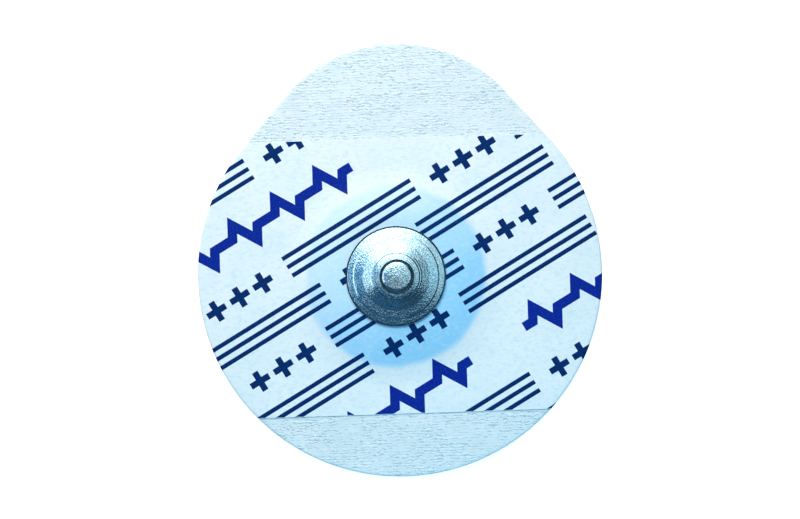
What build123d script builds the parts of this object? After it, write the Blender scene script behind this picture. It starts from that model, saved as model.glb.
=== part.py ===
from build123d import *

import os
from math import asin, atan2, degrees, tan

# Disposable snap electrode for heart monitoring, in millimetres.
# The stud's axis is Z, and the origin lies on it, in the face that the electrode rests on.
# It lies gel side down on its release liner, with its pull tab towards +Y. From the bottom up it is
# a formed clear liner, a gel pad in the liner's cup, a sensor eyelet whose post stands up through the
# middle, an adhesive coat, a backing tape, a printed label, and a drawn metal stud over the post.

# Die-cut outline: a round body and a smaller round pull tab, joined by lines tangent to both
body_diameter = 42.0
tab_reach = 3.0
tab_radius = 15.2
die_shift_x = 0.5
die_shift_y = 0.15

# Layers, from the skin side up
liner_thickness = 0.15
adhesive_thickness = 0.05
tape_thickness = 0.3
label_thickness = 0.1
label_width = 28.6
ink_thickness = 0.03

# Gel pad, and the cup that the liner has for it
gel_diameter = 19.0
cup_gap = 0.2
cup_draft = 0.8
cup_depth = 0.75

# Crown: the layers rise from a skirt round the gel pad to its level top
crown_rise = 0.75
crown_skirt = 1.5

# Sensor eyelet
eyelet_diameter = 10.0
eyelet_thickness = 0.6
post_fit_clearance = 0.02
post_hole_clearance = 0.15
bulb_clearance = 0.08
bulb_chamfer = 0.3
bulb_top_gap = 0.3

# Snap stud, drawn from sheet: heights are over its seat on the label
sheet_thickness = 0.22
stud_diameter = 10.4
hem_gap = 0.1
hem_width = 1.0
rim_chamfer = 0.15
rim_top_width = 0.7
step_width = 0.9
step_height = 0.84
ring_width = 0.94
ring_height = 1.2
neck_diameter = 3.32
foot_height = 1.42
foot_chamfer = 0.25
neck_height = 1.9
head_diameter = 3.95
head_low_height = 2.2
head_band_height = 2.86
head_chamfer = 0.24
head_flat_radius = 1.0
head_height = 3.35

# Print: bars in threes, crosses in threes and pulse lines, in rows slanted across the label
print_angle = 30.0
repeat_along = 27.2
row_pitch = 4.27
rows_in_block = 4
pulse_row_gap = 5.41
first_row_height = 6.68
bar_start = -1.28
bar_length = 15.6
bar_width = 0.4
bar_pitch = 1.0
cross_size = 2.2
cross_stroke = 0.66
cross_pitch = 2.8
pulse_start = -8.3
pulse_length = 20.7
pulse_stroke = 1.0
pulse_swing = 0.75
pulse_peak = 1.3
pulse_beats = 4
print_margin = 0.03

body_radius = body_diameter / 2
tab_offset = body_radius + tab_reach - tab_radius
gel_radius = gel_diameter / 2
eyelet_radius = eyelet_diameter / 2
stud_radius = stud_diameter / 2
neck_radius = neck_diameter / 2
head_radius = head_diameter / 2
post_radius = neck_radius - sheet_thickness - post_fit_clearance
hole_radius = post_radius + post_hole_clearance
skirt_radius = gel_radius + crown_skirt
blank_radius = body_diameter + tab_reach

# Heights of the faces where the layers meet, outside the crown
adhesive_z = cup_depth + liner_thickness
tape_z = adhesive_z + adhesive_thickness
label_z = tape_z + tape_thickness
ink_z = label_z + label_thickness

eyelet_top_z = adhesive_z + crown_rise
seat_z = ink_z + crown_rise
over_all_z = seat_z + 2 * head_height


def outline_sketch():
    """The die-cut outline in plan: two arcs and the lines tangent to both."""
    tangent_angle = degrees(asin((body_radius - tab_radius) / tab_offset))
    body_centre = (die_shift_x, die_shift_y)
    tab_centre = (die_shift_x, die_shift_y + tab_offset)
    with BuildSketch() as outline:
        with BuildLine():
            body = CenterArc(body_centre, body_radius, 180 - tangent_angle, 180 + 2 * tangent_angle)
            tab = CenterArc(tab_centre, tab_radius, tangent_angle, 180 - 2 * tangent_angle)
            Line(body @ 1, tab @ 0)
            Line(tab @ 1, body @ 0)
        make_face()
    return outline.sketch


def crown_line(height):
    """The crown in section, from the axis out, for a face at this height outside the crown."""
    with BuildLine() as crown:
        Polyline(
            (0, height + crown_rise),
            (gel_radius, height + crown_rise),
            (skirt_radius, height),
            (blank_radius, height),
        )
    return crown.line


def crowned_blank(height, thickness):
    """A round blank of one layer, laid over the crown, before it is cut."""
    lower = crown_line(height)
    upper = crown_line(height + thickness)
    with BuildPart() as blank:
        with BuildSketch(Plane.XZ):
            with BuildLine():
                add(lower)
                add(upper)
                Line(lower @ 0, upper @ 0)
                Line(lower @ 1, upper @ 1)
            make_face()
        revolve(axis=Axis.Z)
    return blank.part


outline = outline_sketch()

# Release liner: a clear sheet with a round cup formed in it, cut by the same die as the tape
cup_wall = liner_thickness * tan(atan2(cup_depth, cup_draft) / 2)
cup_floor_radius = gel_radius + cup_gap + cup_wall
with BuildPart() as release_liner:
    with BuildSketch(Plane.XZ):
        with BuildLine():
            underside = Polyline(
                (0, 0),
                (cup_floor_radius, 0),
                (cup_floor_radius + cup_draft, cup_depth),
                (blank_radius, cup_depth),
            )
            inside = Polyline(
                (0, liner_thickness),
                (cup_floor_radius - cup_wall, liner_thickness),
                (cup_floor_radius + cup_draft - cup_wall, cup_depth + liner_thickness),
                (blank_radius, cup_depth + liner_thickness),
            )
            Line(underside @ 0, inside @ 0)
            Line(underside @ 1, inside @ 1)
        make_face()
    revolve(axis=Axis.Z)
    with BuildSketch():
        add(outline)
    extrude(amount=over_all_z, mode=Mode.INTERSECT)

# Gel pad: stands on the cup's floor, with the eyelet's flange let into its top
with BuildPart() as gel_pad:
    with BuildSketch(Plane.XY.offset(eyelet_top_z)):
        Circle(gel_radius)
    extrude(amount=liner_thickness - eyelet_top_z)
    with BuildSketch(Plane.XY.offset(eyelet_top_z)):
        Circle(eyelet_radius)
    extrude(amount=-eyelet_thickness, mode=Mode.SUBTRACT)

# Adhesive coat over the whole skin side of the tape
with BuildPart() as adhesive_coat:
    add(crowned_blank(adhesive_z, adhesive_thickness))
    with BuildSketch():
        add(outline)
        Circle(hole_radius, mode=Mode.SUBTRACT)
    extrude(amount=over_all_z, mode=Mode.INTERSECT)

# Backing tape
with BuildPart() as backing_tape:
    add(crowned_blank(tape_z, tape_thickness))
    with BuildSketch():
        add(outline)
        Circle(hole_radius, mode=Mode.SUBTRACT)
    extrude(amount=over_all_z, mode=Mode.INTERSECT)

# Label: a strip of film across the tape, cut by the die at both ends
with BuildSketch() as strip:
    add(outline)
    Rectangle(2 * blank_radius, label_width, mode=Mode.INTERSECT)

with BuildPart() as label_strip:
    add(crowned_blank(label_z, label_thickness))
    with BuildSketch():
        add(strip.sketch)
        Circle(hole_radius, mode=Mode.SUBTRACT)
    extrude(amount=over_all_z, mode=Mode.INTERSECT)

# Print rows: blocks of bar rows, with a pulse row between two blocks
block_height = (rows_in_block - 1) * row_pitch
repeat_up = block_height + 2 * pulse_row_gap
print_plane = Plane.XY.rotated((0, 0, print_angle))
blocks = [first_row_height + n * repeat_up for n in (-1, 0, 1)]
columns = [n * repeat_along for n in (-1, 0, 1)]


def row_places(start):
    """Places of one mark in every bar row, from this start. Each second row is half a repeat on."""
    return [
        (start + column + (row % 2) * repeat_along / 2, block - row * row_pitch)
        for block in blocks
        for row in range(rows_in_block)
        for column in columns
    ]


with BuildSketch(print_plane) as bar_marks:
    with Locations(*row_places(bar_start)):
        with GridLocations(0, bar_pitch, 1, 3):
            Rectangle(bar_length, bar_width)

with BuildSketch(print_plane) as cross_marks:
    with Locations(*row_places(bar_start - repeat_along / 2)):
        with GridLocations(cross_pitch, 0, 3, 1):
            Rectangle(cross_size, cross_stroke)
            Rectangle(cross_stroke, cross_size)

# Pulse line: level, then beats that each rise, fall and rise again, and level
beat_pitch = pulse_length / pulse_beats
pulse_points = [(-pulse_length / 2, 0)]
for beat in range(pulse_beats):
    middle = (beat + 0.5) * beat_pitch - pulse_length / 2
    pulse_points.append((middle - 2 * pulse_swing, 0))
    pulse_points.append((middle - pulse_swing, pulse_peak))
    pulse_points.append((middle + pulse_swing, -pulse_peak))
    pulse_points.append((middle + 2 * pulse_swing, 0))
pulse_points.append((pulse_length / 2, 0))

with BuildSketch() as pulse_mark:
    with BuildLine():
        Polyline(*pulse_points)
    trace(line_width=pulse_stroke)

pulse_places = [(pulse_start + column, block + pulse_row_gap) for block in blocks for column in columns]
with BuildSketch(print_plane) as pulse_marks:
    with Locations(*pulse_places):
        add(pulse_mark.sketch)

# The print keeps just clear of the label's edges and of the stud
with BuildSketch() as print_area:
    add(strip.sketch)
    offset(amount=-print_margin)
    Circle(stud_radius + print_margin, mode=Mode.SUBTRACT)


def inked(marks):
    """Ink of these marks: a thin coat that lies on the label."""
    with BuildPart() as ink:
        with BuildSketch():
            add(marks)
            add(print_area.sketch, mode=Mode.INTERSECT)
        extrude(amount=over_all_z)
        add(crowned_blank(ink_z, ink_thickness), mode=Mode.INTERSECT)
    return ink


print_bars = inked(bar_marks.sketch)
print_crosses = inked(cross_marks.sketch)
print_pulse = inked(pulse_marks.sketch)

# The stud and the post in it are drawn in section on this plane, with heights over the stud's seat
seat_plane = Plane((0, 0, seat_z), x_dir=(1, 0, 0), z_dir=(0, -1, 0))
bore_radius = neck_radius - sheet_thickness
head_bore_radius = head_radius - sheet_thickness
head_bore_height = head_height - sheet_thickness
flare_lift = sheet_thickness * tan(atan2(head_radius - neck_radius, head_low_height - neck_height) / 2)

# Sensor eyelet: a round flange under the tape, and a post with a bulb that holds the stud's head
with BuildPart() as sensor_eyelet:
    with BuildSketch(seat_plane):
        with BuildLine():
            Polyline(
                (0, eyelet_top_z - seat_z - eyelet_thickness),
                (eyelet_radius, eyelet_top_z - seat_z - eyelet_thickness),
                (eyelet_radius, eyelet_top_z - seat_z),
                (post_radius, eyelet_top_z - seat_z),
                (post_radius, neck_height + flare_lift + bulb_clearance),
                (head_bore_radius - bulb_clearance, head_low_height + flare_lift + bulb_clearance),
                (head_bore_radius - bulb_clearance, head_bore_height - bulb_top_gap - bulb_chamfer),
                (head_bore_radius - bulb_clearance - bulb_chamfer, head_bore_height - bulb_top_gap),
                (0, head_bore_height - bulb_top_gap),
                close=True,
            )
        make_face()
    revolve(axis=Axis.Z)

# Snap stud: one drawn sheet, hemmed under its rim, stepped up to its neck and closed at its head
rim_height = 2 * sheet_thickness + hem_gap
ring_radius = neck_radius + ring_width
step_radius = ring_radius + step_width
rim_top_radius = stud_radius - rim_top_width
with BuildPart() as snap_stud:
    with BuildSketch(seat_plane):
        with BuildLine():
            Polyline(
                (0, 0),
                (stud_radius - rim_chamfer, 0),
                (stud_radius, rim_chamfer),
                (stud_radius, rim_height - rim_chamfer),
                (stud_radius - rim_chamfer, rim_height),
                (rim_top_radius, rim_height),
                (step_radius, step_height),
                (ring_radius, ring_height),
                (neck_radius + foot_chamfer, foot_height),
                (neck_radius, foot_height + foot_chamfer),
                (neck_radius, neck_height),
                (head_radius, head_low_height),
                (head_radius, head_band_height),
                (head_radius - head_chamfer, head_band_height + head_chamfer),
                (head_flat_radius, head_height),
                (0, head_height),
                close=True,
            )
        make_face()
    revolve(axis=Axis.Z)
    with BuildSketch(seat_plane):
        with BuildLine():
            Polyline(
                (0, 0),
                (stud_radius - hem_width, 0),
                (stud_radius - hem_width, sheet_thickness),
                (stud_radius - sheet_thickness, sheet_thickness),
                (stud_radius - sheet_thickness, rim_height - sheet_thickness),
                (rim_top_radius, rim_height - sheet_thickness),
                (step_radius, step_height - sheet_thickness),
                (ring_radius, ring_height - sheet_thickness),
                (neck_radius + foot_chamfer - sheet_thickness / 2, foot_height - sheet_thickness),
                (bore_radius, foot_height + foot_chamfer - sheet_thickness / 2),
                (bore_radius, neck_height + flare_lift),
                (head_bore_radius, head_low_height + flare_lift),
                (head_bore_radius, head_band_height - sheet_thickness / 2),
                (head_flat_radius, head_bore_height),
                (0, head_bore_height),
                close=True,
            )
        make_face()
    revolve(axis=Axis.Z, mode=Mode.SUBTRACT)

os.makedirs("parts", exist_ok=True)

release_liner.part.label = "release_liner"
gel_pad.part.label = "gel_pad"
sensor_eyelet.part.label = "sensor_eyelet"
adhesive_coat.part.label = "adhesive_coat"
backing_tape.part.label = "backing_tape"
label_strip.part.label = "label_strip"
print_bars.part.label = "print_bars"
print_crosses.part.label = "print_crosses"
print_pulse.part.label = "print_pulse"
snap_stud.part.label = "snap_stud"

export_step(release_liner.part, "parts/release_liner.step")
export_step(gel_pad.part, "parts/gel_pad.step")
export_step(sensor_eyelet.part, "parts/sensor_eyelet.step")
export_step(adhesive_coat.part, "parts/adhesive_coat.step")
export_step(backing_tape.part, "parts/backing_tape.step")
export_step(label_strip.part, "parts/label_strip.step")
export_step(print_bars.part, "parts/print_bars.step")
export_step(print_crosses.part, "parts/print_crosses.step")
export_step(print_pulse.part, "parts/print_pulse.step")
export_step(snap_stud.part, "parts/snap_stud.step")
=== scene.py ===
from math import asin, cos, hypot, pi, radians, sin

import bmesh
import bpy
from mathutils import Matrix, Vector, noise


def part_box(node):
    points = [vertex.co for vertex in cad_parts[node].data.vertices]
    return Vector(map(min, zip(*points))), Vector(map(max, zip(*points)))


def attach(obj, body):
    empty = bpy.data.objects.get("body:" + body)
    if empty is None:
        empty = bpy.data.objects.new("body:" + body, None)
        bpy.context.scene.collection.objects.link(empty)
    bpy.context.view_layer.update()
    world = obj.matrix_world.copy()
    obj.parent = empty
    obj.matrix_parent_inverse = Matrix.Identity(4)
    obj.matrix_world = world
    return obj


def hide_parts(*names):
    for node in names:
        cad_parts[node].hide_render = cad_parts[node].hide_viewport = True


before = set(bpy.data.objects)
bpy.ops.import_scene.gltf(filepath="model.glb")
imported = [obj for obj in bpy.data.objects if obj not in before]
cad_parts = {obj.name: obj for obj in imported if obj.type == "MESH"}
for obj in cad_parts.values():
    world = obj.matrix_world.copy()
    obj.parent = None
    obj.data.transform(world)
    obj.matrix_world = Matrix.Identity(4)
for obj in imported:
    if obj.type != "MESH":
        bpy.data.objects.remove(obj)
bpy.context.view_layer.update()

# Disposable snap electrode, gel side down on its clear liner, seen from above.
# Lengths are in metres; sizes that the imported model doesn't give are written as millimetres times MM.
MM = 0.001

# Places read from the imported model
liner_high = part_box("release_liner")[1]
gel_low, gel_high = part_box("gel_pad")
eyelet_low, eyelet_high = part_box("sensor_eyelet")
adhesive_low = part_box("adhesive_coat")[0]
tape_low, tape_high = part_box("backing_tape")
label_low, label_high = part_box("label_strip")
stud_low, stud_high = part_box("snap_stud")

ORIGIN = Vector((0, 0, 0))
UP = Vector((0, 0, 1))

# Points nearer than these are merged, and an edge sharper than this angle stays crisp
WELD = 1e-7
PRINT_WELD = 1e-6
SHARP_ANGLE = radians(32)

# Die-cut outline: a round body, a smaller round pull tab, and the two lines tangent to both
TAB_RADIUS = 15.2 * MM
BODY_RADIUS = (tape_high.x - tape_low.x) / 2
BODY_CENTRE = Vector(((tape_high.x + tape_low.x) / 2, tape_low.y + BODY_RADIUS, 0))
TAB_CENTRE = Vector((BODY_CENTRE.x, tape_high.y - TAB_RADIUS, 0))
TANGENT_ANGLE = asin((BODY_RADIUS - TAB_RADIUS) / (TAB_CENTRE.y - BODY_CENTRE.y))
OUTLINE_STEP = radians(2.4)
BLANK_RADIUS = 26 * MM

# Layers, from the skin side up
LINER_THICKNESS = 0.15 * MM
LINER_GAP = 0.01 * MM
LINER_SHOULDER = liner_high.z - LINER_THICKNESS
CUP_FLOOR_RADIUS = 9.76 * MM
CUP_RIM_RADIUS = 10.56 * MM
HOLE_RADIUS = 1.57 * MM
LABEL_THICKNESS = 0.1 * MM
LABEL_HALF_WIDTH = label_high.y

# The die presses a narrow rim of tape, label and print down along the edge
EDGE_RIM = 0.15 * MM
EDGE_PRESS = 0.09 * MM

# Crown of the layers over the gel pad, from its level seat under the stud down to its skirt
CROWN_RISE = stud_low.z - label_low.z - LABEL_THICKNESS
CROWN_SEAT = 5.4 * MM
CROWN_SKIRT = 11.6 * MM
CROWN_POWER = 1.2

# Slow ripples of tape and label, which start outside the seat, and the tape's own wrinkles
RIPPLE_HEIGHT = 0.03 * MM
RIPPLE_LENGTHS = (7 * MM, 5 * MM)
RIPPLE_START = 2 * MM
WRINKLE_HEIGHT = 0.016 * MM
WRINKLE_LENGTHS = (2.2 * MM, 0.6 * MM)

# Print on the label: rows slanted by 30 degrees
PRINT_ANGLE = radians(30)
REPEAT_ALONG = 27.2 * MM
ROW_PITCH = 4.27 * MM
ROWS_IN_BLOCK = 4
FIRST_ROW = 6.68 * MM
PULSE_ROW_GAP = 5.41 * MM
BAR_START = -1.28 * MM
BAR_SIZE = (15.6 * MM, 0.45 * MM)
BAR_PITCH = 1.0 * MM
CROSS_SIZE = 2.2 * MM
CROSS_STROKE = 0.66 * MM
CROSS_PITCH = 2.8 * MM
PULSE_START = -8.3 * MM
PULSE_LENGTH = 20.7 * MM
PULSE_STROKE = 1.0 * MM
PULSE_SWING = 0.75 * MM
PULSE_PEAK = 1.3 * MM
PULSE_BEATS = 4
PRINT_MARGIN = 0.03 * MM
INK_RISE = 0.008 * MM
INK_DEPTH = 0.03 * MM

# The print is cut into cells that follow the label, fine ones over the crown. The stud hides its middle
FINE_CELL = 0.3 * MM
COARSE_CELL = 1.0 * MM
PRINT_REACH = 24 * MM
HIDDEN_RADIUS = 4.9 * MM


# Materials

def linear(hex_colour):
    """An sRGB hex colour as linear red, green, blue and alpha."""
    parts = [int(hex_colour[i:i + 2], 16) / 255 for i in (1, 3, 5)]
    return [c / 12.92 if c <= 0.04045 else ((c + 0.055) / 1.055) ** 2.4 for c in parts] + [1.0]


def per_metre(x, y, z):
    """The scale of a pattern whose lumps measure this many millimetres along X, Y and Z."""
    return [1 / (length * MM) for length in (x, y, z)]


def set_inputs(tree, node, inputs):
    """Set inputs of a node. Each is a value, or another node's output to link to it."""
    for socket, value in inputs.items():
        if isinstance(value, bpy.types.NodeSocket):
            tree.links.new(value, node.inputs[socket])
        else:
            node.inputs[socket].default_value = value


def add_node(tree, kind, settings, inputs, output=0):
    """Add a node with these settings and inputs, and give one of its outputs."""
    made = tree.nodes.new("ShaderNode" + kind)
    for name, value in settings.items():
        setattr(made, name, value)
    set_inputs(tree, made, inputs)
    return made.outputs[output]


# Settings that repeat. A Map Range node takes its value at 0, the range it comes from at 1 and 2, and the
# range it goes to at 3 and 4. A Mix node of colours takes its factor at 0 and its colours at 6 and 7, and
# gives the result at 2.
SMOOTH = {"interpolation_type": "SMOOTHSTEP"}
COLOURS = {"data_type": "RGBA"}


def new_material(name):
    """A node material, with its tree and its shader."""
    material = bpy.data.materials.new(name)
    material.use_nodes = True
    tree = material.node_tree
    return material, tree, tree.nodes["Principled BSDF"]


def axis_distance(tree, place):
    """Distance of this place from the stud's axis."""
    level = add_node(tree, "VectorMath", {"operation": "MULTIPLY"}, {0: place, 1: (1, 1, 0)})
    return add_node(tree, "VectorMath", {"operation": "LENGTH"}, {0: level}, "Value")


def crepe_height(tree, place):
    """Crepe: wrinkles across the tape, one every 0.3 mm, that wander and break off after 0.5 to 2 mm."""
    # A band of the wave node is pi / 10 wide at scale 1, so a scale of 1.05 gives the pitch
    bands = add_node(tree, "TexWave", {"bands_direction": "Y"}, {
        "Vector": add_node(tree, "Mapping", {}, {"Vector": place, "Scale": per_metre(1.3, 1, 1)}),
        "Scale": 1.05,
        "Distortion": 9.0,
        "Detail": 3.0,
        "Detail Scale": 1.6,
        "Detail Roughness": 0.7,
    }, "Fac")
    # The wrinkles fade into the sheet in small gaps, and are fainter in patches of a few millimetres
    gaps = add_node(tree, "TexNoise", {}, {
        "Vector": add_node(tree, "Mapping", {}, {"Vector": place, "Scale": per_metre(0.6, 0.35, 1)}),
        "Scale": 1.0,
    })
    patches = add_node(tree, "TexNoise", {}, {
        "Vector": add_node(tree, "Mapping", {}, {"Vector": place, "Scale": per_metre(2.6, 1.8, 2.6)}),
        "Scale": 1.0,
    })
    broken = add_node(tree, "MapRange", SMOOTH, {0: gaps, 1: 0.34, 2: 0.6, 3: 0.15, 4: 1.0})
    patchy = add_node(tree, "MapRange", SMOOTH, {0: patches, 1: 0.36, 2: 0.6, 3: 0.55, 4: 1.0})
    depth = add_node(tree, "Math", {"operation": "MULTIPLY"}, {0: broken, 1: patchy})
    wrinkle = add_node(tree, "Math", {"operation": "SUBTRACT"}, {0: bands, 1: 0.5})
    return add_node(tree, "Math", {"operation": "MULTIPLY_ADD"}, {0: wrinkle, 1: depth, 2: 0.5})


def creped_nonwoven():
    """Creped nonwoven tape: matt, fuzzy, with fine wrinkles that run across it."""
    material, tree, shader = new_material("Creped nonwoven")
    place = add_node(tree, "TexCoord", {}, {}, "Object")
    crepe = crepe_height(tree, place)
    # Fibres about 0.1 mm across, in a slightly uneven web
    fibres = add_node(tree, "TexNoise", {}, {
        "Vector": add_node(tree, "Mapping", {}, {"Vector": place, "Scale": per_metre(0.28, 0.11, 0.2)}),
        "Scale": 1.0,
        "Detail": 3.0,
        "Roughness": 0.6,
    })
    web = add_node(tree, "TexNoise", {}, {
        "Vector": add_node(tree, "Mapping", {}, {"Vector": place, "Scale": per_metre(3, 2, 3)}),
        "Scale": 1.0,
        "Detail": 4.0,
        "Roughness": 0.6,
    })
    dense = add_node(tree, "MapRange", SMOOTH, {0: web, 1: 0.35, 2: 0.65})
    sheet = add_node(tree, "Mix", COLOURS, {0: dense, 6: linear("#DDE8EA"), 7: linear("#E4EDEF")}, 2)
    # Painted shade in the crepe's grooves, and a painted highlight along the tops of its wrinkles
    level = add_node(tree, "MapRange", SMOOTH, {0: crepe, 1: 0.12, 2: 0.42})
    groove_shaded = add_node(tree, "Mix", COLOURS, {0: level, 6: linear("#A8C4CF"), 7: sheet}, 2)
    crest_highlight = add_node(tree, "MapRange", SMOOTH, {0: crepe, 1: 0.58, 2: 0.9})
    lined = add_node(tree, "Mix", COLOURS, {0: crest_highlight, 6: groove_shaded, 7: linear("#F0F6F7")}, 2)
    tufts = add_node(tree, "MapRange", SMOOTH, {0: fibres, 1: 0.35, 2: 0.65, 3: 0.75, 4: 1.0})
    fuzzy = add_node(tree, "Mix", COLOURS, {0: tufts, 6: linear("#CBDBE3"), 7: lined}, 2)
    creped = add_node(tree, "Bump", {}, {"Height": crepe, "Distance": 0.036 * MM, "Strength": 0.8})
    fibrous = add_node(tree, "Bump", {}, {
        "Height": fibres,
        "Distance": 0.015 * MM,
        "Strength": 0.5,
        "Normal": creped,
    })
    set_inputs(tree, shader, {
        "Base Color": fuzzy,
        "Roughness": 0.92,
        "Specular IOR Level": 0.2,
        "Normal": fibrous,
    })
    return material


def printed_film():
    """Polyester label film: satin, and thin enough for the blue gel pad to show through it."""
    material, tree, shader = new_material("Satin label film")
    place = add_node(tree, "TexCoord", {}, {}, "Object")
    cloud = add_node(tree, "TexNoise", {}, {
        "Vector": add_node(tree, "Mapping", {}, {"Vector": place, "Scale": per_metre(5, 4, 5)}),
        "Scale": 1.0,
        "Detail": 3.0,
    })
    cloudy = add_node(tree, "MapRange", SMOOTH, {0: cloud, 1: 0.3, 2: 0.7})
    clean = add_node(tree, "Mix", COLOURS, {0: cloudy, 6: linear("#E2ECEF"), 7: linear("#E9F0F2")}, 2)
    # Fine mottle, from the tape's web under the film
    mottle = add_node(tree, "TexNoise", {}, {
        "Vector": add_node(tree, "Mapping", {}, {"Vector": place, "Scale": per_metre(0.5, 0.35, 0.5)}),
        "Scale": 1.0,
        "Detail": 4.0,
        "Roughness": 0.65,
    })
    specks = add_node(tree, "MapRange", SMOOTH, {0: mottle, 1: 0.46, 2: 0.72, 3: 0.0, 4: 0.9})
    film = add_node(tree, "Mix", COLOURS, {0: specks, 6: clean, 7: linear("#C6DEE8")}, 2)
    # The gel's own blue shows through the film, with painted shade that deepens it towards the lower right of
    # the pad, the side of the crown turned from the key lamp
    toward_shaded_side = add_node(tree, "VectorMath", {"operation": "DOT_PRODUCT"}, {0: place, 1: (0.6, -0.8, 0)}, "Value")
    shade_reach = add_node(tree, "Math", {"operation": "MULTIPLY_ADD"}, {0: cloud, 1: 6 * MM, 2: toward_shaded_side})
    painted_side_shade = add_node(tree, "MapRange", SMOOTH, {0: shade_reach, 1: -6 * MM, 2: 9 * MM})
    gel = add_node(tree, "Mix", COLOURS, {0: painted_side_shade, 6: linear("#CCE5F2"), 7: linear("#96D2F3")}, 2)
    # The gel's stain ends in a soft and slightly uneven edge
    ripple = add_node(tree, "TexNoise", {}, {"Vector": place, "Scale": 1 / (3.5 * MM)})
    distance = axis_distance(tree, place)
    edge = add_node(tree, "Math", {"operation": "MULTIPLY_ADD"}, {0: ripple, 1: 0.9 * MM, 2: distance})
    stain = add_node(tree, "MapRange", SMOOTH, {0: edge, 1: 9.4 * MM, 2: 10.3 * MM, 3: 1.0, 4: 0.0})
    stained = add_node(tree, "Mix", COLOURS, {0: stain, 6: film, 7: gel}, 2)
    glints = add_node(tree, "MapRange", SMOOTH, {0: mottle, 1: 0.45, 2: 0.7, 3: 0.0, 4: 0.16})
    shown = add_node(tree, "Mix", COLOURS, {0: glints, 6: stained, 7: linear("#FFFFFF")}, 2)
    # The tape's crepe presses faintly through the film
    creped = add_node(tree, "Bump", {}, {
        "Height": crepe_height(tree, place),
        "Distance": 0.014 * MM,
        "Strength": 0.5,
    })
    rippled = add_node(tree, "Bump", {}, {
        "Height": ripple,
        "Distance": 0.1 * MM,
        "Strength": 0.3,
        "Normal": creped,
    })
    set_inputs(tree, shader, {
        "Base Color": shown,
        "Roughness": 0.45,
        "Specular IOR Level": 0.25,
        "Normal": rippled,
    })
    return material


def printing_ink(name, colour, thin_colour):
    """Printing ink: satin, a little thinner in fine specks where the film shows."""
    material, tree, shader = new_material(name)
    place = add_node(tree, "TexCoord", {}, {}, "Object")
    # Specks of about 0.15 mm, from the film's fine texture
    specks = add_node(tree, "TexNoise", {}, {
        "Vector": place,
        "Scale": 1 / (0.15 * MM),
        "Detail": 3.0,
        "Roughness": 0.6,
    })
    thin = add_node(tree, "MapRange", SMOOTH, {0: specks, 1: 0.5, 2: 0.75})
    ink = add_node(tree, "Mix", COLOURS, {0: thin, 6: linear(colour), 7: linear(thin_colour)}, 2)
    set_inputs(tree, shader, {
        "Base Color": ink,
        "Roughness": 0.5,
        "Specular IOR Level": 0.05,
        "Normal": add_node(tree, "Bump", {}, {"Height": specks, "Distance": 0.01 * MM, "Strength": 0.3}),
    })
    return material


def drawn_steel():
    """Drawn and tumbled steel: bright, with a sparkling grain and faint turning rings."""
    material, tree, shader = new_material("Drawn tumbled steel")
    place = add_node(tree, "TexCoord", {}, {}, "Object")
    # Drawing rings about 0.3 mm apart. The real grain of 0.1 mm is drawn at 0.16 mm, or it wouldn't show
    rings = add_node(tree, "TexNoise", {"noise_dimensions": "1D"}, {
        "W": axis_distance(tree, place),
        "Scale": 3.3 / MM,
    })
    tumbled = add_node(tree, "TexNoise", {}, {
        "Vector": place,
        "Scale": 1 / (0.16 * MM),
        "Detail": 1.0,
        "Roughness": 0.65,
    })
    patches = add_node(tree, "TexNoise", {}, {"Vector": place, "Scale": 1 / (1.4 * MM)})
    glints = add_node(tree, "MapRange", SMOOTH, {0: tumbled, 1: 0.35, 2: 0.65})
    tone = add_node(tree, "Mix", COLOURS, {0: glints, 6: linear("#7EB2C8"), 7: linear("#C0E2EE")}, 2)
    worn = add_node(tree, "MapRange", SMOOTH, {0: patches, 1: 0.4, 2: 0.7, 3: 0.0, 4: 0.5})
    steel = add_node(tree, "Mix", COLOURS, {0: worn, 6: tone, 7: linear("#A8CCDA")}, 2)
    # Tumbling marks the flats more than the steep steps between them
    facing = add_node(tree, "TexCoord", {}, {}, "Normal")
    level = add_node(tree, "VectorMath", {"operation": "DOT_PRODUCT"}, {0: facing, 1: (0, 0, 1)}, "Value")
    pitted = add_node(tree, "Bump", {}, {
        "Height": tumbled,
        "Distance": 0.033 * MM,
        "Strength": add_node(tree, "MapRange", SMOOTH, {0: level, 1: 0.86, 2: 0.94, 3: 0.15, 4: 1.0}),
    })
    ringed = add_node(tree, "Bump", {}, {
        "Height": rings,
        "Distance": 0.008 * MM,
        "Strength": 0.6,
        "Normal": pitted,
    })
    set_inputs(tree, shader, {
        "Base Color": steel,
        "Metallic": 1.0,
        "Roughness": add_node(tree, "MapRange", SMOOTH, {0: patches, 1: 0.3, 2: 0.7, 3: 0.1, 4: 0.17}),
        "Normal": ringed,
    })
    return material


def blue_hydrogel():
    """Wet conductive hydrogel: blue, see-through and glossy, with small bubbles."""
    material, tree, shader = new_material("Blue hydrogel")
    place = add_node(tree, "TexCoord", {}, {}, "Object")
    haze = add_node(tree, "TexNoise", {}, {"Vector": place, "Scale": 1 / (2.2 * MM), "Detail": 3.0})
    hazy = add_node(tree, "MapRange", SMOOTH, {0: haze, 1: 0.35, 2: 0.65})
    body = add_node(tree, "Mix", COLOURS, {0: hazy, 6: linear("#8CC9F2"), 7: linear("#A4D8F8")}, 2)
    # Bubbles about 0.18 mm apart
    bubbles = add_node(tree, "TexVoronoi", {}, {"Vector": place, "Scale": 1 / (0.18 * MM)})
    spots = add_node(tree, "MapRange", SMOOTH, {0: bubbles, 1: 0.1, 2: 0.2, 3: 1.0, 4: 0.0})
    gel = add_node(tree, "Mix", COLOURS, {0: spots, 6: body, 7: linear("#D2ECFB")}, 2)
    set_inputs(tree, shader, {
        "Base Color": gel,
        "Roughness": 0.12,
        "IOR": 1.38,
        "Transmission Weight": 0.65,
        "Normal": add_node(tree, "Bump", {}, {"Height": haze, "Distance": 0.05 * MM, "Strength": 0.4}),
    })
    return material


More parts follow.
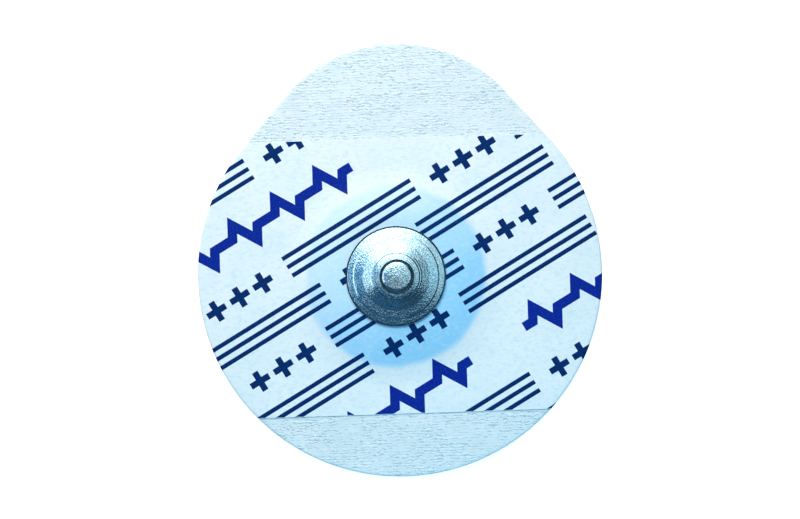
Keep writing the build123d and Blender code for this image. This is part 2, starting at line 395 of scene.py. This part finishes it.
def silver_chloride_coat():
    """Moulded eyelet with a thin silver chloride coat: matt grey, faintly mottled."""
    material, tree, shader = new_material("Silver chloride coat")
    place = add_node(tree, "TexCoord", {}, {}, "Object")
    mottle = add_node(tree, "TexNoise", {}, {
        "Vector": place,
        "Scale": 1 / (0.7 * MM),
        "Detail": 4.0,
        "Roughness": 0.6,
    })
    mottled = add_node(tree, "MapRange", SMOOTH, {0: mottle, 1: 0.35, 2: 0.65})
    coat = add_node(tree, "Mix", COLOURS, {0: mottled, 6: linear("#8B8A90"), 7: linear("#A5A3A8")}, 2)
    pores = add_node(tree, "TexNoise", {}, {"Vector": place, "Scale": 1 / (0.12 * MM)})
    set_inputs(tree, shader, {
        "Base Color": coat,
        "Roughness": 0.62,
        "Normal": add_node(tree, "Bump", {}, {"Height": pores, "Distance": 0.015 * MM, "Strength": 0.5}),
    })
    return material


def tacky_adhesive():
    """Acrylic adhesive on the tape: glossy, with the orange peel of a rolled coat."""
    material, tree, shader = new_material("Tacky acrylic adhesive")
    place = add_node(tree, "TexCoord", {}, {}, "Object")
    crepe = crepe_height(tree, place)
    level = add_node(tree, "MapRange", SMOOTH, {0: crepe, 1: 0.2, 2: 0.6})
    lined = add_node(tree, "Mix", COLOURS, {0: level, 6: linear("#B4CCD6"), 7: linear("#E4F4F9")}, 2)
    # Where the film lies close on the adhesive it looks wet, and it looks paler where a little air is between
    air = add_node(tree, "TexNoise", {}, {
        "Vector": add_node(tree, "Mapping", {}, {"Vector": place, "Scale": per_metre(3.2, 2.4, 3)}),
        "Scale": 1.0,
        "Detail": 4.0,
        "Roughness": 0.6,
        "Distortion": 0.8,
    })
    airy = add_node(tree, "MapRange", SMOOTH, {0: air, 1: 0.48, 2: 0.56, 3: 0.0, 4: 0.45})
    coat = add_node(tree, "Mix", COLOURS, {0: airy, 6: lined, 7: linear("#F4FBFD")}, 2)
    peel = add_node(tree, "TexNoise", {}, {
        "Vector": add_node(tree, "Mapping", {}, {"Vector": place, "Scale": per_metre(1.2, 0.8, 1)}),
        "Scale": 1.0,
    })
    peeled = add_node(tree, "Bump", {}, {"Height": peel, "Distance": 0.05 * MM, "Strength": 0.5})
    creped = add_node(tree, "Bump", {}, {
        "Height": crepe,
        "Distance": 0.02 * MM,
        "Strength": 0.3,
        "Normal": peeled,
    })
    set_inputs(tree, shader, {
        "Base Color": coat,
        "Roughness": 0.16,
        "Coat Weight": 0.6,
        "Coat Roughness": 0.08,
        "Normal": creped,
    })
    return material


def formed_polyester():
    """Thermoformed polyester film: clear and glossy, with the slow waves of a formed sheet."""
    material, tree, shader = new_material("Clear formed polyester")
    place = add_node(tree, "TexCoord", {}, {}, "Object")
    waves = add_node(tree, "TexNoise", {}, {"Vector": place, "Scale": 1 / (4 * MM), "Detail": 1.0})
    film = add_node(tree, "Mix", COLOURS, {0: waves, 6: linear("#F7FCFE"), 7: linear("#FFFFFF")}, 2)
    scuffs = add_node(tree, "TexNoise", {}, {
        "Vector": add_node(tree, "Mapping", {}, {"Vector": place, "Scale": per_metre(0.25, 3, 3)}),
        "Scale": 1.0,
    })
    set_inputs(tree, shader, {
        "Base Color": film,
        "Roughness": add_node(tree, "MapRange", SMOOTH, {0: scuffs, 1: 0.55, 2: 0.75, 3: 0.04, 4: 0.14}),
        "IOR": 1.57,
        "Transmission Weight": 1.0,
        "Normal": add_node(tree, "Bump", {}, {"Height": waves, "Distance": 0.1 * MM, "Strength": 0.3}),
    })
    return material


# Shapes

def clamped(value):
    """The value, held between 0 and 1."""
    return min(max(value, 0), 1)


def uneven(x, y, lengths, layer):
    """Uneven waves of these lengths along X and Y, between -1 and 1. Each layer has its own."""
    return noise.noise(Vector((x / lengths[0], y / lengths[1], layer)))


def crown_rise(x, y):
    """Height of the crown over the skirt at this place."""
    t = clamped((hypot(x, y) - CROWN_SEAT) / (CROWN_SKIRT - CROWN_SEAT))
    return CROWN_RISE * (1 - (t * t * (3 - 2 * t)) ** CROWN_POWER)


def ripple_rise(x, y):
    """Height of the slow ripples that tape and label share, level under the stud."""
    started = clamped((hypot(x, y) - CROWN_SEAT) / RIPPLE_START)
    return RIPPLE_HEIGHT * uneven(x, y, RIPPLE_LENGTHS, 3.1) * started


def edge_inset(x, y):
    """How far inside the die-cut outline this place lies."""
    outward = Vector((cos(TANGENT_ANGLE), sin(TANGENT_ANGLE), 0))
    along = Vector((-sin(TANGENT_ANGLE), cos(TANGENT_ANGLE), 0))
    from_body = Vector((abs(x - BODY_CENTRE.x), y - BODY_CENTRE.y, 0))
    from_tab = Vector((abs(x - TAB_CENTRE.x), y - TAB_CENTRE.y, 0))
    if from_body.dot(along) < 0:
        return BODY_RADIUS - from_body.length
    if from_tab.dot(along) > 0:
        return TAB_RADIUS - from_tab.length
    return BODY_RADIUS - from_body.dot(outward)


def edge_press(x, y):
    """How far the die has pressed the sheets down at this place."""
    return EDGE_PRESS * (1 - clamped(edge_inset(x, y) / EDGE_RIM))


def tape_top(x, y):
    """Height of the tape's creped top at this place."""
    wrinkle = WRINKLE_HEIGHT * uneven(x, y, WRINKLE_LENGTHS, 8.4)
    return label_low.z + crown_rise(x, y) + ripple_rise(x, y) + wrinkle - edge_press(x, y)


def label_top(x, y):
    """Height of the label's top at this place."""
    return label_low.z + LABEL_THICKNESS + crown_rise(x, y) + ripple_rise(x, y) - edge_press(x, y)


def cut(bm, point, normal, keep_both=False):
    """Cut flat pieces along a plane, and drop what lies on its normal's side."""
    geometry = bm.verts[:] + bm.edges[:] + bm.faces[:]
    bmesh.ops.bisect_plane(bm, geom=geometry, plane_co=point, plane_no=normal, dist=WELD,
                           clear_outer=not keep_both)


def die_cut(bm, inset=0.0, keep_both=False):
    """Cut pieces to the outline or to this inset from it, by planes tangent to its body and its tab."""
    body_turn = pi + 2 * TANGENT_ANGLE
    body_steps = round(body_turn / OUTLINE_STEP)
    for step in range(body_steps + 1):
        angle = pi - TANGENT_ANGLE + body_turn * step / body_steps
        outward = Vector((cos(angle), sin(angle), 0))
        cut(bm, BODY_CENTRE + (BODY_RADIUS - inset) * outward, outward, keep_both)
    tab_turn = pi - 2 * TANGENT_ANGLE
    tab_steps = round(tab_turn / OUTLINE_STEP)
    for step in range(1, tab_steps):
        angle = TANGENT_ANGLE + tab_turn * step / tab_steps
        outward = Vector((cos(angle), sin(angle), 0))
        cut(bm, TAB_CENTRE + (TAB_RADIUS - inset) * outward, outward, keep_both)


def strip_cut(bm, half_width):
    """Cut pieces to a strip across the outline."""
    cut(bm, Vector((0, half_width, 0)), Vector((0, 1, 0)))
    cut(bm, Vector((0, -half_width, 0)), Vector((0, -1, 0)))


def cell_cut(bm, reach, cell, across):
    """Cut pieces into bands of one cell, up to this reach on both sides of the axis."""
    for n in range(-round(reach / cell), round(reach / cell) + 1):
        cut(bm, n * cell * across, across, keep_both=True)


def blank_grid(cell_x, cell_y):
    """A flat grid that covers the outline, with cells of this size."""
    bm = bmesh.new()
    bmesh.ops.create_grid(bm, x_segments=round(2 * BLANK_RADIUS / cell_x),
                          y_segments=round(2 * BLANK_RADIUS / cell_y), size=BLANK_RADIUS)
    return bm


def punch_hole(bm, radius):
    """Drop the cells over a round hole on the axis, and draw the edge in to its circle."""
    inside = [face for face in bm.faces if face.calc_center_median().xy.length < radius]
    bmesh.ops.delete(bm, geom=inside, context="FACES")
    for vert in bm.verts:
        if vert.is_boundary and vert.co.xy.length < 2 * radius:
            vert.co.xy = vert.co.xy.normalized() * radius


def drape(bm, lower, upper):
    """Give flat pieces a thickness, with each face at the height that its function gives."""
    sheet = bm.verts[:]
    raised = bmesh.ops.extrude_face_region(bm, geom=bm.faces[:])["geom"]
    top = [item for item in raised if isinstance(item, bmesh.types.BMVert)]
    for vert in sheet:
        vert.co.z = lower(vert.co.x, vert.co.y)
    for vert in top:
        vert.co.z = upper(vert.co.x, vert.co.y)
    bmesh.ops.recalc_face_normals(bm, faces=bm.faces)


def spin_section(corners, segments):
    """A turned shape from its section: each corner is a radius, a height and a round, in millimetres."""
    bm = bmesh.new()
    verts = [bm.verts.new((radius * MM, 0, height * MM)) for radius, height, _ in corners]
    for first, second in zip(verts, verts[1:]):
        bm.edges.new((first, second))
    for vert, (_, _, rounding) in zip(verts, corners):
        if rounding:
            bmesh.ops.bevel(bm, geom=[vert], offset=rounding * MM, offset_type="OFFSET", affect="VERTICES",
                            segments=6, profile=0.5, material=-1, clamp_overlap=True)
    bmesh.ops.spin(bm, geom=bm.verts[:] + bm.edges[:], axis=UP, cent=ORIGIN, angle=2 * pi,
                   steps=segments, use_merge=True)
    bmesh.ops.remove_doubles(bm, verts=bm.verts, dist=WELD)
    bmesh.ops.recalc_face_normals(bm, faces=bm.faces)
    return bm


def add_piece(name, bm, material, nodes):
    """An object of this mesh that stands for the model's nodes and moves with its body."""
    mesh = bpy.data.meshes.new(name)
    bm.to_mesh(mesh)
    bm.free()
    mesh.materials.append(material)
    mesh.shade_smooth()
    mesh.set_sharp_from_angle(angle=SHARP_ANGLE)
    piece = bpy.data.objects.new(name, mesh)
    bpy.context.collection.objects.link(piece)
    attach(piece, "root")
    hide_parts(*nodes)
    return piece


# Release liner: a formed sheet with a cup, cut by the same die as the tape
liner = spin_section([
    (0, 0, 0),
    (CUP_FLOOR_RADIUS / MM, 0, 0.35),
    (CUP_RIM_RADIUS / MM, LINER_SHOULDER / MM, 0.35),
    (BLANK_RADIUS / MM, LINER_SHOULDER / MM, 0),
], segments=160)
die_cut(liner)
bmesh.ops.recalc_face_normals(liner, faces=liner.faces)
bmesh.ops.reverse_faces(liner, faces=liner.faces)
bmesh.ops.solidify(liner, geom=liner.faces[:], thickness=LINER_THICKNESS - LINER_GAP)
add_piece("formed_liner", liner, formed_polyester(), ["release_liner"])

# Gel pad: stands in the cup, crowned up to a hair under the adhesive, with the eyelet's flange let into it
gel_base = gel_low.z / MM
gel_top = gel_high.z / MM
gel_edge = gel_high.x / MM
gel_clearance = 0.01
gel_crown = [
    (radius, (adhesive_low.z + crown_rise(radius * MM, 0)) / MM - gel_clearance, 0)
    for radius in (9.1, 8.5, 7.9, 7.2, 6.5, 5.8)
]
flange_edge = eyelet_high.x / MM
flange_base = eyelet_low.z / MM
gel = spin_section([
    (0, gel_base, 0),
    (gel_edge, gel_base, 0.15),
    (gel_edge, gel_crown[0][1] - 0.25, 0.15),
    *gel_crown,
    (flange_edge, gel_top, 0),
    (flange_edge, flange_base, 0),
    (0, flange_base, 0),
], segments=160)
add_piece("gel_disc", gel, blue_hydrogel(), ["gel_pad"])

# Sensor eyelet: a round flange, and the post that stands up through the neck and swells in the stud's head
post_radius = 1.42
bulb_radius = 1.67
post_top = eyelet_high.z / MM
eyelet = spin_section([
    (0, flange_base, 0),
    (flange_edge, flange_base, 0.2),
    (flange_edge, gel_top, 0.1),
    (post_radius, gel_top, 0),
    (post_radius, gel_top + 2.5, 0.1),
    (bulb_radius, gel_top + 2.85, 0.1),
    (bulb_radius, post_top - 0.3, 0.1),
    (1.3, post_top, 0.2),
    (0, post_top, 0),
], segments=128)
add_piece("coated_eyelet", eyelet, silver_chloride_coat(), ["sensor_eyelet"])

# Adhesive coat under the tape
adhesive = blank_grid(0.5 * MM, 0.5 * MM)
die_cut(adhesive)
punch_hole(adhesive, HOLE_RADIUS)
drape(adhesive, lambda x, y: adhesive_low.z + crown_rise(x, y), lambda x, y: tape_low.z + crown_rise(x, y))
add_piece("adhesive_film", adhesive, tacky_adhesive(), ["adhesive_coat"])

# Backing tape, creped on top, with cells that are short along Y for its wrinkles
tape = blank_grid(0.45 * MM, 0.16 * MM)
die_cut(tape)
die_cut(tape, EDGE_RIM, keep_both=True)
punch_hole(tape, HOLE_RADIUS)
tape_area = sum(face.calc_area() for face in tape.faces)
drape(tape, lambda x, y: tape_low.z + crown_rise(x, y), tape_top)
tape_piece = add_piece("creped_tape", tape, creped_nonwoven(), ["backing_tape"])

# Label strip over the tape
label = blank_grid(0.3 * MM, 0.3 * MM)
strip_cut(label, LABEL_HALF_WIDTH)
die_cut(label)
die_cut(label, EDGE_RIM, keep_both=True)
punch_hole(label, HOLE_RADIUS)
drape(label, lambda x, y: label_top(x, y) - LABEL_THICKNESS, label_top)
add_piece("label_film", label, printed_film(), ["label_strip"])

# Print rows: blocks of bar rows, with a pulse row between two blocks
block_height = (ROWS_IN_BLOCK - 1) * ROW_PITCH
repeat_up = block_height + 2 * PULSE_ROW_GAP
blocks = [FIRST_ROW + n * repeat_up for n in (-1, 0, 1)]
columns = [n * REPEAT_ALONG for n in (-1, 0, 1)]
slant = Matrix.Rotation(PRINT_ANGLE, 4, "Z")


def row_places(start):
    """Places of one mark in every bar row. Each second row is half a repeat on."""
    return [
        (start + column + (row % 2) * REPEAT_ALONG / 2, block - row * ROW_PITCH)
        for block in blocks
        for row in range(ROWS_IN_BLOCK)
        for column in columns
    ]


def reaches_label(along, up, reach):
    """Whether a mark of this reach, at this place in the slanted rows, comes near the label."""
    centre = slant @ Vector((along, up, 0))
    return abs(centre.y) < LABEL_HALF_WIDTH + reach and abs(centre.x - BODY_CENTRE.x) < BODY_RADIUS + reach


def add_bar(bm, along, up):
    """One printed bar."""
    size = Matrix.Diagonal((BAR_SIZE[0] / 2, BAR_SIZE[1] / 2, 1, 1))
    place = slant @ Matrix.Translation((along, up, 0)) @ size
    bmesh.ops.create_grid(bm, x_segments=1, y_segments=1, size=1, matrix=place)


def add_cross(bm, along, up):
    """One printed cross: a square, with its four sides drawn out to arms."""
    made = bmesh.ops.create_grid(bm, x_segments=1, y_segments=1, size=CROSS_STROKE / 2)["verts"]
    for side in made[0].link_faces[0].edges[:]:
        middle = (side.verts[0].co + side.verts[1].co) / 2
        outward = middle.normalized() * (CROSS_SIZE - CROSS_STROKE) / 2
        arm = bmesh.ops.extrude_edge_only(bm, edges=[side])["geom"]
        ends = [item for item in arm if isinstance(item, bmesh.types.BMVert)]
        bmesh.ops.translate(bm, verts=ends, vec=outward)
        made += ends
    bmesh.ops.transform(bm, verts=made, matrix=slant @ Matrix.Translation((along, up, 0)))


def add_pulse(bm, along, up):
    """One printed pulse line: its path stood up as a ribbon, thickened, and its top face kept."""
    beat_pitch = PULSE_LENGTH / PULSE_BEATS
    path = [(-PULSE_LENGTH / 2, 0)]
    for beat in range(PULSE_BEATS):
        middle = (beat + 0.5) * beat_pitch - PULSE_LENGTH / 2
        path += [
            (middle - 2 * PULSE_SWING, 0),
            (middle - PULSE_SWING, PULSE_PEAK),
            (middle + PULSE_SWING, -PULSE_PEAK),
            (middle + 2 * PULSE_SWING, 0),
        ]
    path.append((PULSE_LENGTH / 2, 0))
    for side in (-1, 1):
        ribbon = bmesh.new()
        verts = [ribbon.verts.new((x, y, 0)) for x, y in path]
        edges = [ribbon.edges.new(pair) for pair in zip(verts, verts[1:])]
        wall = bmesh.ops.extrude_edge_only(ribbon, edges=edges)["geom"]
        upper = [item for item in wall if isinstance(item, bmesh.types.BMVert)]
        bmesh.ops.translate(ribbon, verts=upper, vec=UP * MM)
        bmesh.ops.solidify(ribbon, geom=ribbon.faces[:], thickness=side * PULSE_STROKE / 2)
        flat = [face for face in ribbon.faces if min(vert.co.z for vert in face.verts) > 0.5 * MM]
        others = [face for face in ribbon.faces if face not in flat]
        bmesh.ops.delete(ribbon, geom=others, context="FACES")
        bmesh.ops.translate(ribbon, verts=ribbon.verts[:], vec=-UP * MM)
        bmesh.ops.transform(ribbon, verts=ribbon.verts[:], matrix=slant @ Matrix.Translation((along, up, 0)))
        half = bpy.data.meshes.new("pulse_half")
        ribbon.to_mesh(half)
        ribbon.free()
        bm.from_mesh(half)
        bpy.data.meshes.remove(half)


def print_piece(name, marks, material, node):
    """Marks cut to the label, bent over its crown and laid on it as a thin coat."""
    bmesh.ops.remove_doubles(marks, verts=marks.verts, dist=PRINT_WELD)
    strip_cut(marks, LABEL_HALF_WIDTH - PRINT_MARGIN)
    die_cut(marks)
    die_cut(marks, EDGE_RIM, keep_both=True)
    cell_cut(marks, CROWN_SKIRT, FINE_CELL, Vector((1, 0, 0)))
    cell_cut(marks, CROWN_SKIRT, FINE_CELL, Vector((0, 1, 0)))
    cell_cut(marks, PRINT_REACH, COARSE_CELL, Vector((1, 0, 0)))
    hidden = [face for face in marks.faces if max(vert.co.xy.length for vert in face.verts) < HIDDEN_RADIUS]
    bmesh.ops.delete(marks, geom=hidden, context="FACES")
    drape(marks, lambda x, y: label_top(x, y) - INK_DEPTH, lambda x, y: label_top(x, y) + INK_RISE)
    return add_piece(name, marks, material, [node])


bars = bmesh.new()
for along, up in row_places(BAR_START):
    for line in (-1, 0, 1):
        if reaches_label(along, up + line * BAR_PITCH, BAR_SIZE[0] / 2):
            add_bar(bars, along, up + line * BAR_PITCH)

crosses = bmesh.new()
for along, up in row_places(BAR_START - REPEAT_ALONG / 2):
    for step in (-1, 0, 1):
        if reaches_label(along + step * CROSS_PITCH, up, CROSS_SIZE):
            add_cross(crosses, along + step * CROSS_PITCH, up)

pulses = bmesh.new()
for block in blocks:
    for column in columns:
        if reaches_label(PULSE_START + column, block + PULSE_ROW_GAP, PULSE_LENGTH / 2):
            add_pulse(pulses, PULSE_START + column, block + PULSE_ROW_GAP)

navy = printing_ink("Navy printing ink", "#00285F", "#0C3F7C")
royal = printing_ink("Royal blue printing ink", "#04258C", "#1C46A6")
print_piece("navy_bars", bars, navy, "print_bars")
print_piece("navy_crosses", crosses, navy, "print_crosses")
print_piece("royal_pulse", pulses, royal, "print_pulse")

# Snap stud: one drawn sheet of this gauge, hemmed under its rim, stepped up to its neck, closed at its head
seat = stud_low.z / MM
rim = stud_high.x / MM
head = stud_high.z / MM
gauge = 0.22
head_radius = 1.975
neck_radius = 1.66
hem_radius = 4.2
stud_outside = [
    # Head, with a turned-down edge
    (0, head, 0),
    (0.6, head - 0.02, 0.4),
    (1.42, head - 0.09, 0.22),
    (1.82, head - 0.46, 0.02),
    (1.92, head - 0.47, 0.03),
    (head_radius, head - 0.52, 0.03),
    (head_radius, seat + 2.2, 0.12),
    # Neck
    (neck_radius, seat + 1.9, 0.12),
    (neck_radius, seat + 1.55, 0.12),
    # Cone, in shallow steps out to the rim
    (1.9, seat + 1.48, 0.1),
    (2.36, seat + 1.35, 0.03),
    (2.46, seat + 1.27, 0.03),
    (2.58, seat + 1.235, 0.03),
    (2.68, seat + 1.17, 0.03),
    (3.4, seat + 0.87, 0.03),
    (3.52, seat + 0.82, 0.03),
    (4.36, seat + 0.615, 0.03),
    (4.48, seat + 0.54, 0.03),
    (rim - 0.18, seat + 0.41, 0.03),
    (rim, seat + 0.26, 0.01),
    (rim, seat, 0.08),
]
stud_inside = [
    # Hem, folded back under the rim
    (hem_radius, seat, 0),
    (hem_radius, seat + gauge, 0),
    (rim - gauge, seat + gauge, 0),
    (rim - gauge, seat + 0.32, 0),
    # Hollow under the cone, up the neck and into the head
    (4.5, seat + 0.32, 0),
    (3.5, seat + 0.6, 0),
    (2.5, seat + 0.92, 0),
    (neck_radius - gauge, seat + 1.25, 0),
    (neck_radius - gauge, seat + 2.0, 0),
    (head_radius - gauge, seat + 2.3, 0),
    (head_radius - gauge, seat + 2.75, 0),
    (1.2, head - 0.32, 0),
    (0, head - gauge, 0),
]
stud = spin_section(stud_outside + stud_inside, segments=192)
add_piece("drawn_stud", stud, drawn_steel(), ["snap_stud"])

# Camera: straight over the electrode, which lies turned a little to the left in the frame
SENSOR_WIDTH = 36
FRAME_WIDTH = 83.0 * MM
CAMERA_DISTANCE = 0.5
TURN = radians(1.8)
camera_data = bpy.data.cameras.new("camera")
camera_data.sensor_width = SENSOR_WIDTH
camera_data.lens = SENSOR_WIDTH * CAMERA_DISTANCE / FRAME_WIDTH
camera = bpy.data.objects.new("camera", camera_data)
aim = Vector((0.514 * MM, 1.706 * MM, 1.3 * MM))
toward_camera = Vector((-0.038, 0.015, 1)).normalized()
frame_up = Vector((sin(TURN), cos(TURN), 0))
frame_right = frame_up.cross(toward_camera).normalized()
frame_up = toward_camera.cross(frame_right)
turn = Matrix((frame_right, frame_up, toward_camera)).transposed().to_4x4()
camera.matrix_world = Matrix.Translation(aim + CAMERA_DISTANCE * toward_camera) @ turn
bpy.context.collection.objects.link(camera)
bpy.context.scene.camera = camera


# Light

def add_lamp(name, place, width, level, colour):
    """A square soft lamp, aimed at the electrode and unseen by gloss. Level 1 lights white paper to white."""
    data = bpy.data.lights.new(name, "AREA")
    data.size = width
    data.energy = level * pi ** 2 * place.length_squared
    data.color = linear(colour)[:3]
    lamp = bpy.data.objects.new(name, data)
    lamp.matrix_world = Matrix.Translation(place) @ place.to_track_quat("Z", "Y").to_matrix().to_4x4()
    lamp.visible_glossy = False
    bpy.context.collection.objects.link(lamp)


# A broad lamp behind the electrode, and a small cool one in front of it
add_lamp("key", Vector((-0.03, 0.115, 0.12)), 0.15, 1.31, "#FFFFFF")
add_lamp("cool_fill", Vector((0.02, -0.08, 0.06)), 0.06, 0.45, "#00D0FF")


def seen_as_background(tree):
    """One for rays from the camera, from gloss and through clear film, which see the backdrop."""
    camera_ray = add_node(tree, "LightPath", {}, {}, "Is Camera Ray")
    gloss_ray = add_node(tree, "LightPath", {}, {}, "Is Glossy Ray")
    clear_ray = add_node(tree, "LightPath", {}, {}, "Is Transmission Ray")
    either = add_node(tree, "Math", {"operation": "MAXIMUM"}, {0: camera_ray, 1: gloss_ray})
    return add_node(tree, "Math", {"operation": "MAXIMUM"}, {0: either, 1: clear_ray})


# Studio: pale grey for the light that it gives, and white where it is seen
world = bpy.data.worlds.new("studio")
world.use_nodes = True
tree = world.node_tree
seen = seen_as_background(tree)
set_inputs(tree, tree.nodes["Background"], {
    "Color": add_node(tree, "Mix", COLOURS, {0: seen, 6: linear("#666D71"), 7: linear("#FFFFFF")}, 2),
})
bpy.context.scene.world = world

# Floor: white paper just under the liner, kept white where the light falls off, with the electrode's shadow
FLOOR_REACH = 2.0
FLOOR_DROP = 0.02 * MM
floor_bm = bmesh.new()
bmesh.ops.create_grid(floor_bm, x_segments=1, y_segments=1, size=FLOOR_REACH)
bmesh.ops.translate(floor_bm, verts=floor_bm.verts, vec=-UP * FLOOR_DROP)
floor_mesh = bpy.data.meshes.new("floor")
floor_bm.to_mesh(floor_mesh)
floor_bm.free()
paper, tree, shader = new_material("White paper")
seen = seen_as_background(tree)
set_inputs(tree, shader, {
    "Base Color": linear("#FFFFFF"),
    "Roughness": 0.9,
    "Emission Color": add_node(tree, "Mix", COLOURS, {0: seen, 6: (0, 0, 0, 1), 7: (0.8, 0.8, 0.8, 1)}, 2),
    "Emission Strength": 1.0,
})
# Seen from below, the paper lets the camera through to the electrode's underside
one_sided = add_node(tree, "MixShader", {}, {
    0: add_node(tree, "NewGeometry", {}, {}, "Backfacing"),
    1: shader.outputs["BSDF"],
    2: add_node(tree, "BsdfTransparent", {}, {}),
})
set_inputs(tree, tree.nodes["Material Output"], {"Surface": one_sided})
floor_mesh.materials.append(paper)
floor = bpy.data.objects.new("floor", floor_mesh)
bpy.context.collection.objects.link(floor)

CARD_RADIUS = 0.3


def add_card(name, colour, level, low, high, start, end):
    """A lit card on a sphere round the electrode, between these angles, which only gloss sees."""
    bm = bmesh.new()
    bmesh.ops.create_uvsphere(bm, u_segments=72, v_segments=36, radius=CARD_RADIUS)
    cut(bm, UP * CARD_RADIUS * sin(radians(low)), -UP)
    cut(bm, UP * CARD_RADIUS * sin(radians(high)), UP)
    if end - start < 360:
        first, last = radians(start), radians(end)
        cut(bm, ORIGIN, Vector((sin(first), -cos(first), 0)))
        cut(bm, ORIGIN, Vector((-sin(last), cos(last), 0)))
    mesh = bpy.data.meshes.new(name)
    bm.to_mesh(mesh)
    bm.free()
    lit, tree, shader = new_material(name)
    set_inputs(tree, shader, {
        "Base Color": (0, 0, 0, 1),
        "Emission Color": linear(colour),
        "Emission Strength": level,
    })
    mesh.materials.append(lit)
    card = bpy.data.objects.new(name, mesh)
    card.visible_camera = False
    card.visible_diffuse = False
    card.visible_transmission = False
    card.visible_shadow = False
    bpy.context.collection.objects.link(card)


# Cards, as the room round a shiny thing on a white table: a window behind it, and darker things all round it.
# Each has a level, the heights that it lies between and the directions that it lies between, in degrees
add_card("window_card", "#FFFFFF", 3.2, 26, 76, 60, 140)
add_card("low_card", "#0A2634", 1.0, 0.5, 24, 0, 360)
add_card("shade_card", "#0A2634", 1.0, 24, 40, 285, 400)
add_card("front_low_card", "#245C7C", 1.0, 24, 40, 205, 285)
add_card("front_card", "#044C6E", 1.0, 40, 69, 205, 335)
add_card("left_card", "#3C8EC4", 1.0, 50, 74, 145, 205)
add_card("left_low_card", "#FFFFFF", 1.7, 26, 50, 145, 205)
add_card("right_card", "#DCF6FF", 1.0, 40, 76, 335, 385)
add_card("lens_card", "#0A3650", 1.0, 76, 84, 165, 345)
add_card("lens_middle_card", "#0A3650", 1.0, 84, 90, 0, 360)

bpy.context.scene.view_settings.view_transform = "Standard"
